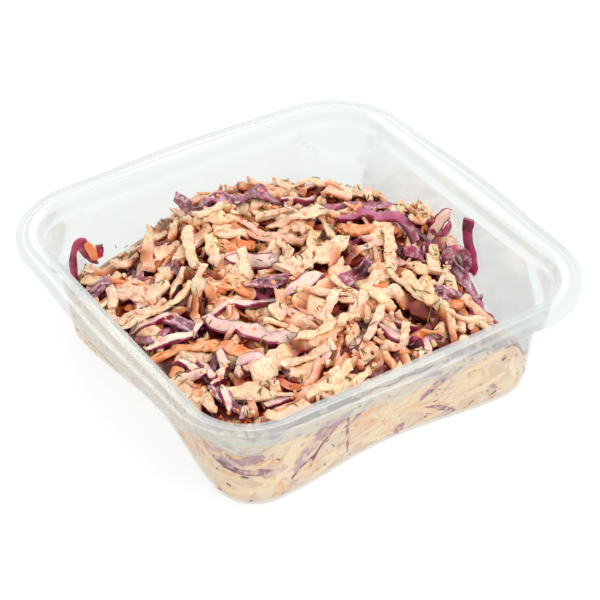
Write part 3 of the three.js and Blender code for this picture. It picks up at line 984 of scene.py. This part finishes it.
# Deep between the shreds the ribbon is painted dark: partly juice, partly painted shade.
ribbon_colour = (sunk * 0.8).tint(ribbon_colour, linear(84, 18, 16))
ribbon_paint = {
    "Base Color": ribbon_colour,
    "Roughness": 0.28,
    "Coat Weight": 0.35,
    "Coat Roughness": 0.15,
    "Normal": place.noise(1.8, 2).bump(0.2, 0.5),
}
finished(place.node("BsdfPrincipled", (), ribbon_paint))

ribbons = make_piece("red_cabbage_ribbons", ribbon_bodies, ribbon_finish)
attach(ribbons, "root")
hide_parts("coleslaw")


# ---- Strips of white cabbage -------------------------------------------------------------
# The same white head shredded finer: the strips lie on top and across everything else, but
# leave the big pieces of red cabbage and carrot in sight. Small chips fell with them.

# Placed one by one: where the middle lies, heading, length, curl and width.
STRIPS = [
    (20.5, -34, -74, 26, 0.1, 3.8),
    (28, -36, -51, 19, 0.2, 3),
    (26, -9, 56, 19, 0.2, 4.2),
    (6, -2, -10, 20, 0.1, 6.5),
    (13, 18, -30, 17, 0.1, 7),
    (-18, 26, 20, 15, -0.8, 4.5),
    (-16, 17, -112, 11, 0.2, 3.6),
    (-12, 8, -120, 10, 0, 2.8),
    (-4, 27, -20, 15, -0.9, 3.4),
    (-7, 31, -12, 12, 0, 3.6),
    (-16, -31, -12, 22, 0.2, 4.6),
    (-20, -36, -20, 15, 0.1, 3.4),
    (-11, -30, 5, 16, 0.2, 3.6),
    (-29, -48, 3, 25, 0.3, 3.8),
    (-32, -35, 10, 8, 0, 7),
    (-38, -37, -50, 10, 0.5, 5),
    (-49, -31, -88, 14, 0.3, 3.4),
    (-15, -15, -125, 13, 0.5, 5),
    (-28, 4, 45, 13, 0.3, 3),
    (-42, 18, -35, 12, 0, 5),
    (-31, 12, 35, 10, 0, 4),
    (-30, 38, 5, 14, 0, 4),
    (-22, 35, 20, 12, 0, 5),
    (43, 0, 20, 9, 0, 3.4),
    (33, -13, -3, 7, 0, 4),
    (38, -14, -111, 6, 0, 4),
    (41, -10, -120, 5, 0, 4),
    (40, -19, -118, 9, 0, 4.4),
    (26, -27, -100, 8, 0, 5),
    (32, -35, -15, 15, 0, 3.2),
    (36, -19, 28, 17, 0.6, 1.6),
    (41, -30, -48, 8, 0, 3),
    (-42, 16, -65, 12, 0, 5.5),
    (-47, 20, -108, 7, 0, 3),
    (-34, 16, 44, 18, 0.5, 4.6),
    (-48, 5, -16, 11, 0.8, 4.4),
    (-43, 33, -29, 11, 1, 3.4),
]
STRIP = {
    "count": 480, "long": (10, 30), "wide": (1.5, 4), "thick": (0.8, 1.4), "room": 0.1, "placed": STRIPS,
}
CHIP = {"count": 160, "long": (1.5, 4), "wide": (1, 2.4), "thick": (0.8, 1.4), "room": -0.8}
PLACED_THICK = 1.3
PLACED_DARKEST = 0.6  # those placed one by one are among the palest
# Those that lie along the wall, and how far back from it their middles are.
EDGE_STRIP = {
    "count": 170, "along": 42, "back": (0.7, 3.4), "long": (6, 15), "wide": (1.6, 3.4), "thick": 1.1,
}

# Long ones that came to lie over all the others.
TOP_STRIPS = [
    (21, -27, -88, 24, 0.1, 3),
    (22, -31, -99, 29, 0.2, 3.2),
    (23, -39, -102, 18, 0.1, 2.2),
    (10, -20, -138, 18, 0.3, 2.8),
    (3, -34, -137, 17, 0.1, 2.4),
    (-3, -30, -149, 12, 0.3, 2.8),
    (8, -41, -128, 12, 0.1, 2.4),
    (12, -24, -69, 9, 0.1, 3.6),
    (28, -42, -6, 11, 0.1, 2.4),
    (-27, 42, -95, 15, 0.3, 3.2),
    (-29, 32, -124, 11, 0.4, 3.8),
    (-19, 43, -106, 11, 0.2, 4.6),
    (-21, 22, -109, 20, 0.5, 3.4),
    (-31, 2, -130, 20, 0.6, 2.4),
    (-8, 31, -12, 9, 0.1, 3),
    (-41, 20, -17, 8, 0.1, 4.6),
]

strip_bodies = []


def lay_strips(placed):
    for x, y, heading, long, curl, wide in placed:
        path = bent_path(x, y, math.radians(heading), long, curl, random.normal(0, 0.1))
        strip_bodies.append(white_shred(path, wide, PLACED_THICK, PLACED_DARKEST))


for kind in (STRIP, CHIP):
    for n in range(kind["count"]):
        long, wide, thick = drawn(kind, "long", "wide", "thick")
        path, room = find_place(long, wide, random.normal(0, 0.55), random.normal(0, 0.25), kept_clear)
        if path is not None and room > kind["room"]:
            strip_bodies.append(white_shred(path, wide, thick))
    lay_strips(kind.get("placed", ()))

for n in range(EDGE_STRIP["count"]):
    turn = random.integers(4) * QUARTER
    way = random.uniform(-EDGE_STRIP["along"], EDGE_STRIP["along"])
    out = wall_half - random.uniform(*EDGE_STRIP["back"])
    x = out * math.cos(turn) - way * math.sin(turn)
    y = out * math.sin(turn) + way * math.cos(turn)
    heading, long = turn + QUARTER + random.normal(0, 0.25), random.uniform(*EDGE_STRIP["long"])
    path = bent_path(x, y, heading, long, random.normal(0, 0.4))
    if in_tub(*path.T, 0.5) and clear_of(path, kept_clear, 1):
        wide = random.uniform(*EDGE_STRIP["wide"])
        strip_bodies.append(white_shred(path, wide, EDGE_STRIP["thick"]))
lay_strips(TOP_STRIPS)

strips = make_piece("white_cabbage_strips", strip_bodies, white_cabbage)
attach(strips, "root")
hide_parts("coleslaw")


# ---- Dressing ----------------------------------------------------------------------------
# Thick creamy dressing, grainy with carrot mush, lies in the hollows between the shreds
# wherever it hasn't run down.
FILM_DEPTH = (0.6, 4.8)  # how far it lies under the shreds: where it lies, and where it ran off
FILM_THICK = 1.6
SOFT_CREASE = math.radians(89)
GRAIN = 0.28


def around(heights, reach, how):
    """The mean, or the highest, of the heights within reach of each cell."""
    cells = int(reach / CELL)
    for axis in (0, 1):
        heights = how([np.roll(heights, step, axis) for step in range(-cells, cells + 1)], axis=0)
    return heights


def cloudy(grain):
    """Random cloud over the grid, mostly between -1 and 1."""
    field = random.normal(0, 1, grid_x.shape)
    for turn in range(3):
        field = around(field, grain / 4, np.mean)
    return field / field.std() / 1.5


def slab(top, thick, kept):
    """A closed sheet under a surface of the grid, over its kept cells only."""
    number = np.arange(top.size).reshape(top.shape)
    corner = [number[:-1, :-1], number[1:, :-1], number[1:, 1:], number[:-1, 1:]]
    a, b, c, d = [side[kept] for side in corner]
    faces = [np.stack([a, b, c], 1), np.stack([a, c, d], 1)]
    faces += [face[:, ::-1] + top.size for face in faces]
    shut = np.pad(~kept, 1, constant_values=True)
    beside = (shut[1:-1, :-2], shut[2:, 1:-1], shut[1:-1, 2:], shut[:-2, 1:-1])
    for n, border in enumerate(beside):
        start, end = corner[n][kept & border], corner[(n + 1) % 4][kept & border]
        faces.append(np.stack([end, start, start + top.size], 1))
        faces.append(np.stack([end, start + top.size, end + top.size], 1))
    used, faces = np.unique(np.concatenate(faces), return_inverse=True)
    heights = np.concatenate([top.ravel(), top.ravel() - thick])
    points = np.stack([np.tile(grid_x.ravel(), 2), np.tile(grid_y.ravel(), 2), heights], 1)
    points[:, :2] += off_wall(points)
    return {"points": points[used], "faces": faces.reshape(-1, 3)}


open_here = np.zeros(grid_x.shape)
for x, y, reach in GAPS:
    open_here += np.exp(-((grid_x - x) ** 2 + (grid_y - y) ** 2) / reach**2)
ran_off = smooth_step(0.6 + 1.1 * cloudy(6) + 1.5 * open_here)
film_top = around(ground, 2.5, np.mean) - FILM_DEPTH[0] - (FILM_DEPTH[1] - FILM_DEPTH[0]) * ran_off
film_top += GRAIN * cloudy(2.2) + GRAIN * cloudy(4)
shown = around((film_top > ground - 0.3).astype(float), CELL, np.max)[:-1, :-1] > 0
inside = [[in_tub(np.array([x]), np.array([y]), 0.9) for y in grid_axis[:-1]] for x in grid_axis[:-1]]
film = slab(film_top, FILM_THICK, shown & np.array(inside))

dressing_finish, place = new_finish("creamy_dressing")
cream = place.noise(3, 2, 0.5).rising(0.35, 0.65).tint(linear(240, 190, 146), linear(250, 218, 180))
mush = place.noise(1.2, 2, 0.3).rising(0.56, 0.68) * 0.7
cream = mush.tint(cream, linear(222, 122, 60))
blood = place.noise(6, 2).rising(0.56, 0.7) * 0.5
cream = blood.tint(cream, linear(176, 92, 84))
dressing_paint = {
    "Base Color": cream,
    "Roughness": 0.32,
    "Coat Weight": 0.3,
    "Coat Roughness": 0.15,
    "Normal": place.noise(0.9, 2).bump(0.3, 0.6),
}
finished(place.node("BsdfPrincipled", (), dressing_paint))

dressing = make_piece("creamy_dressing", [film], dressing_finish, SOFT_CREASE)
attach(dressing, "root")
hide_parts("coleslaw")


# ---- Carrot crumbs -----------------------------------------------------------------------
# The finest gratings stuck to the dressing, thick in some places and missing in others. They
# are one piece with the rest of the carrot.
LOOSE_CRUMBS = 900
CRUMB_CLOUD = 7
FINE_HALF = 52  # crumbs and dill fall this far out from the middle

ground = np.maximum(ground, film_top)
crumbs_here = cloudy(CRUMB_CLOUD)
for n in range(LOOSE_CRUMBS):
    x, y = random.uniform(-FINE_HALF, FINE_HALF, 2)
    spot = np.array([[x], [y]])
    if in_tub(*spot, 1) and on_grid(crumbs_here, *spot)[0] > 0.1:
        carrot_bodies.append(lump_body(x, y, random.uniform(*CRUMB)))
carrot = make_piece("grated_carrot", carrot_bodies, carrot_finish)
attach(carrot, "root")
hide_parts("coleslaw")


# ---- Dill --------------------------------------------------------------------------------
# Chopped dill: fine dark green needles, one by one or in little tufts, clinging where they
# fell.
DILL = {"tufts": 260, "needles": (1, 4), "long": (0.9, 2.8), "wide": (0.26, 0.4), "spread": 0.8}
NEEDLE_CUT = np.array([(-1, 0), (0, 1)])
NEEDLE_WAY = np.linspace(-0.5, 0.5, 4)
# Needles that stuck to the bare wall at the left and the right.
STUCK = [
    ((-45.1, 51.5, 22), (-44.6, 51.5, 20.6)),
    ((-29.4, 51.5, 20), (-28.9, 51.5, 18.4)),
    ((-26.9, 51.5, 18), (-24.9, 51.5, 18.4)),
    ((51.9, -9.4, 26), (51.9, -10, 24.6)),
    ((51.8, -10.6, 23.6), (51.6, -10.2, 20.9)),
]

dill_bodies = []


def needle(line, facing, wide):
    return shred_body(line, facing, wide, wide, 0, (0.5, 0.3), (0, 0), 0.05, NEEDLE_CUT)


for tuft in range(DILL["tufts"]):
    middle, heading = random.uniform(-FINE_HALF, FINE_HALF, 2), random.uniform(0, 6.3)
    for n in range(random.integers(*DILL["needles"])):
        long, wide = drawn(DILL, "long", "wide")
        x, y = middle + random.normal(0, DILL["spread"], 2)
        angle = heading + random.normal(0, 0.35) + random.uniform(-0.8, 0.8) * NEEDLE_WAY
        path = (x, y) + long * NEEDLE_WAY[:, None] * np.stack([np.cos(angle), np.sin(angle)], 1)
        if not in_tub(*path.T, 0.6):
            continue
        line = np.column_stack([path, softened(on_grid(ground, *path.T), 1) + wide * 0.3])
        dill_bodies.append(needle(line, np.tile((0.0, 0.0, 1.0), (4, 1)), wide))
for a, b in STUCK:
    facing = np.array((0, -1, 0) if a[1] > 50 else (-1, 0, 0), float)
    dill_bodies.append(needle(curve_through([a, b], 4), facing, 0.3))

dill_finish, place = new_finish("chopped_dill")
tone = place.mark("tone")
greens = [(0, linear(78, 76, 20)), (0.6, linear(116, 112, 40)), (1, linear(164, 154, 76))]
dill_paint = {
    "Base Color": place.node("ValToRGB", {"stops": greens}, {0: tone}),
    "Roughness": 0.6,
    "Specular IOR Level": 0.2,
    "Normal": place.noise(0.5, 1).bump(0.05, 0.5),
}
finished(place.node("BsdfPrincipled", (), dill_paint))

dill = make_piece("chopped_dill", dill_bodies, dill_finish)
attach(dill, "root")
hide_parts("coleslaw")


# ---- The pressed salad -------------------------------------------------------------------
# Under the loose shreds the salad is pressed into one mass, wet through with dressing. It fills the tub
# out to its wall and floor. Between the shreds it is painted dark: partly the juice of the red cabbage,
# partly painted shade where the gaps lie in shadow.
HEAP_RINGS = 56
WALL_RINGS = 30
PALE_EDGE = (2, 3)  # it stays pale this far from the wall, and darkens over this much more


def heap_outline(z, inset=-INTO_WALL):
    row = inner_face(z)
    row[4] = 0
    return outline(row, inset)


floor_z = SHEET - INTO_WALL
edge_x, edge_y = heap_outline(HEAP_LEVEL - WALL_SAG).T
edge_top = packed_level(edge_x, edge_y)
packed_rings = []
for step in np.linspace(0, 1, WALL_RINGS):
    heights = floor_z + (edge_top - floor_z) * step**1.3
    turn = np.array([heap_outline(z)[i] for i, z in enumerate(heights)])
    packed_rings.append(np.column_stack([turn, heights]))
for step in range(1, HEAP_RINGS):
    inner = packed_rings[WALL_RINGS - 1][:, :2] * (1 - step / HEAP_RINGS)
    packed_rings.append(np.column_stack([inner, packed_level(*inner.T)]))
packed_points, packed_faces = skin(packed_rings, (0, 0, floor_z), (0, 0, packed_level(0, 0)))
# How far each point lies under the heap's top, for the painted shade, which stays light near the wall.
buried = smooth_step((heap_level(*packed_points[:, :2].T) - packed_points[:, 2] - 1) / 3)
from_wall = wall_half - PALE_EDGE[0] - abs(packed_points[:, :2]).max(1)
buried *= 0.2 + 0.8 * smooth_step(from_wall / PALE_EDGE[1])
buried[: WALL_RINGS * len(edge_x)] = 0

pressed_salad, place = new_finish("pressed_salad")
shade = place.mark("shade")
cream = place.noise(5, 3, 0.6).rising(0.35, 0.65).tint(linear(238, 204, 176), linear(248, 226, 202))
lilac = place.noise(9, 2, 0.5).rising(0.58, 0.72) * 0.6
dressed = lilac.tint(cream, linear(214, 182, 184))
specks = place.noise(1.1, 1).rising(0.7, 0.76)
dressed = (specks * 0.6).tint(dressed, linear(232, 160, 104))
# Dark maroon to brown: partly juice stain, partly painted shade in the gaps.
stain_and_shade = place.noise(3.5, 2).rising(0.4, 0.6).tint(linear(70, 10, 8), linear(140, 46, 16))
pressed_normal = place.noise(2.2, 3).bump(0.5, 0.6)
pressed_paint = {"Base Color": shade.tint(dressed, stain_and_shade), "Normal": pressed_normal, "Roughness": 0.35}
finished(place.node("BsdfPrincipled", (), pressed_paint))

packed_body = {"points": packed_points, "faces": packed_faces, "marks": {"shade": buried}}
packed_salad = make_piece("packed_salad", [packed_body], pressed_salad)
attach(packed_salad, "root")
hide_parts("coleslaw")


# ---- Shreds against the wall -------------------------------------------------------------
# The outermost shreds are pressed flat on the clear plastic, mostly lying along it, with the
# dressing between them. Cream, carrot and both colours of cabbage show through the wall.
AGAINST = {"count": 800, "long": (4, 18), "wide": (0.7, 2.8), "tilt": 0.65}
SPECK = {"count": 650, "long": (0.6, 2.2), "wide": (0.25, 0.45), "tones": (0.63, 0.63, 0.92, 1)}
LOWEST_AGAINST = 1.5
AGAINST_DEPTH = (-0.7, 0.5)  # the two faces of a shred, as depths into the sheet
# The largest: way along the wall, height, heading, length, curl, width and tone.
AGAINST_PLACED = [
    (274, 18, 8, 13, 0.5, 4, 0.88),
    (271, 15.4, -16, 10, 0.3, 2.6, 0.95),
    (278, 14.5, 4, 9, 0, 2.8, 0.93),
    (273, 17, -30, 6, 0.5, 1.6, 0.7),
    (280, 17.5, 40, 5, 0.5, 1.4, 0.3),
    (284, 14, 12, 6, 0, 2.4, 0.74),
    (287, 17, 74, 15, 0.7, 5, 0.05),
    (281, 11, -30, 9, 0.2, 2.4, 0.2),
    (293, 17, 58, 15, -0.5, 5, 0.86),
    (297, 16, 62, 14, -0.9, 0.9, 0.96),
    (292, 12, 40, 9, -0.8, 0.8, 0.96),
    (302, 22, 30, 12, 0.3, 3, 0.88),
    (331, 25, 12, 14, 0.4, 0.8, 0.96),
    (344, 26, -10, 9, 0.5, 0.8, 0.96),
    (350, 20, 5, 14, 0, 2.6, 0.15),
    (318, 12, 8, 18, 0.2, 2.4, 0.2),
]

wall_heights = np.linspace(floor_z + 1, HEAP_LEVEL + 2, 40)
wall_faces = [
    np.array([np.pad(heap_outline(z, -depth), ((0, 1), (0, 0)), "wrap") for z in wall_heights])
    for depth in AGAINST_DEPTH
]
wall_way = np.append(0, np.cumsum(np.linalg.norm(np.diff(wall_faces[0][20], axis=0), axis=1)))
wall_top = np.append(edge_top, edge_top[0])


def on_wall(face, way, z):
    """Places on the tub's wall, by the way round it and the height."""
    row = np.interp(z, wall_heights, np.arange(len(wall_heights)))
    column = np.interp(way % wall_way[-1], wall_way, np.arange(len(wall_way)))
    return np.concatenate([between(face, row, column), z[..., None]], -1)


against_bodies = []


def press_on_wall(way, z, heading, long, curl, wide, tone, share):
    """A shred flat on the wall, where the salad reaches so high. Share is how deep it goes in."""
    path = bent_path(way, z, heading, long, curl, random.normal(0, 0.2))
    room_over = np.interp(path[:, 0] % wall_way[-1], wall_way, wall_top) - path[:, 1]
    if path[:, 1].min() < floor_z + 1.2 or room_over.min() < wide / 2 - 0.8:
        return
    along = unit(np.gradient(path, axis=0))
    right = np.stack([along[:, 1], -along[:, 0]], 1)
    s = np.linspace(-1, 1, len(path))
    width = wide / 2 * (1 - 0.7 * abs(s) ** 3)[:, None]
    width = width * (1 + 0.15 * random.normal(0, 1, (len(path), 4)))
    flat = path[:, None] + right[:, None] * (width * (-1, -0.8, 0.8, 1))[..., None]
    near, deep = [np.stack([on_wall(face, *flat[:, n].T) for n in range(4)], 1) for face in wall_faces]
    share = share * np.array((0, 1, 1, 0))[:, None]
    rings = near * (1 - share) + deep * share
    points, faces = skin(rings, rings[0].mean(0), rings[-1].mean(0))
    against_bodies.append({"points": points, "faces": faces, "marks": {"tone": tone}})


for n in range(AGAINST["count"]):
    way, z = random.uniform(0, wall_way[-1]), random.uniform(LOWEST_AGAINST, HEAP_LEVEL)
    heading = random.normal(0, AGAINST["tilt"])
    long, wide = drawn(AGAINST, "long", "wide")
    curl, tone = random.normal(0, 0.7), 0.95 * random.uniform(0, 1) ** 1.7
    press_on_wall(way, z, heading, long, curl, wide, tone, random.uniform(0.75, 0.92))
for n in range(SPECK["count"]):
    way, z = random.uniform(0, wall_way[-1]), random.uniform(LOWEST_AGAINST, HEAP_LEVEL)
    heading = random.uniform(0, 3.2)
    long, wide = drawn(SPECK, "long", "wide")
    tone = random.choice(SPECK["tones"])
    press_on_wall(way, z, heading, long, 0.5, wide, tone, random.uniform(0.93, 0.99))
for way, z, heading, long, curl, wide, tone in AGAINST_PLACED:
    press_on_wall(way, z, math.radians(heading), long, curl, wide, tone, random.uniform(0.94, 0.98))

against_finish, place = new_finish("shreds_on_the_wall")
tone = place.mark("tone")
tones = [
    (0, linear(255, 232, 198)),
    (0.3, linear(254, 221, 182)),
    (0.5, linear(252, 206, 164)),
    (0.62, linear(250, 194, 142)),
    (0.7, linear(236, 202, 188)),
    (0.84, linear(214, 178, 180)),
    (0.93, linear(172, 120, 138)),
    (0.97, linear(108, 40, 70)),
    (0.99, linear(96, 82, 44)),
]
shred_colour = place.node("ValToRGB", {"stops": tones}, {0: tone})
shred_colour = (place.noise(2.2, 3).rising(0.46, 0.62) * 0.65).tint(shred_colour, linear(255, 229, 195))
against_paint = {
    "Base Color": shred_colour,
    "Roughness": 0.35,
    "Normal": place.noise(2, 2).bump(0.2, 0.5),
}
finished(place.node("BsdfPrincipled", (), against_paint))

against = make_piece("shreds_against_the_wall", against_bodies, against_finish)
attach(against, "root")
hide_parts("coleslaw")


# ---- The juice and painted shade ---------------------------------------------------------
# Dressing stained by carrot and red cabbage has run down between the shreds, where they also lie in
# shadow. Every piece is marked with how far it lies below the shreds round about, and its finish darkens
# by that: partly the juice's stain, partly painted shade.
LOOK_ROUND = 2.5
BLUR_ROUND = 1.5
JUICE_SHADE_START = 1.8
JUICE_SHADE_REACH = 3.6

relief = ground - heap_level(grid_x, grid_y)
brow = around(around(relief, LOOK_ROUND, np.max), BLUR_ROUND, np.mean)
for piece in (slices, leaves, ribbons, strips, carrot):
    points = np.zeros(len(piece.data.vertices) * 3, np.float32)
    piece.data.vertices.foreach_get("co", points)
    x, y, z = points.reshape(-1, 3).T / MM
    mark = piece.data.attributes.new("sunk", "FLOAT", "POINT")
    # The share by which a finish darkens: partly juice stain, partly painted shade in the gaps.
    below = on_grid(brow, x, y) + heap_level(x, y) - z
    share = smooth_step((below - JUICE_SHADE_START) / JUICE_SHADE_REACH)
    mark.data.foreach_set("value", share.astype(np.float32))
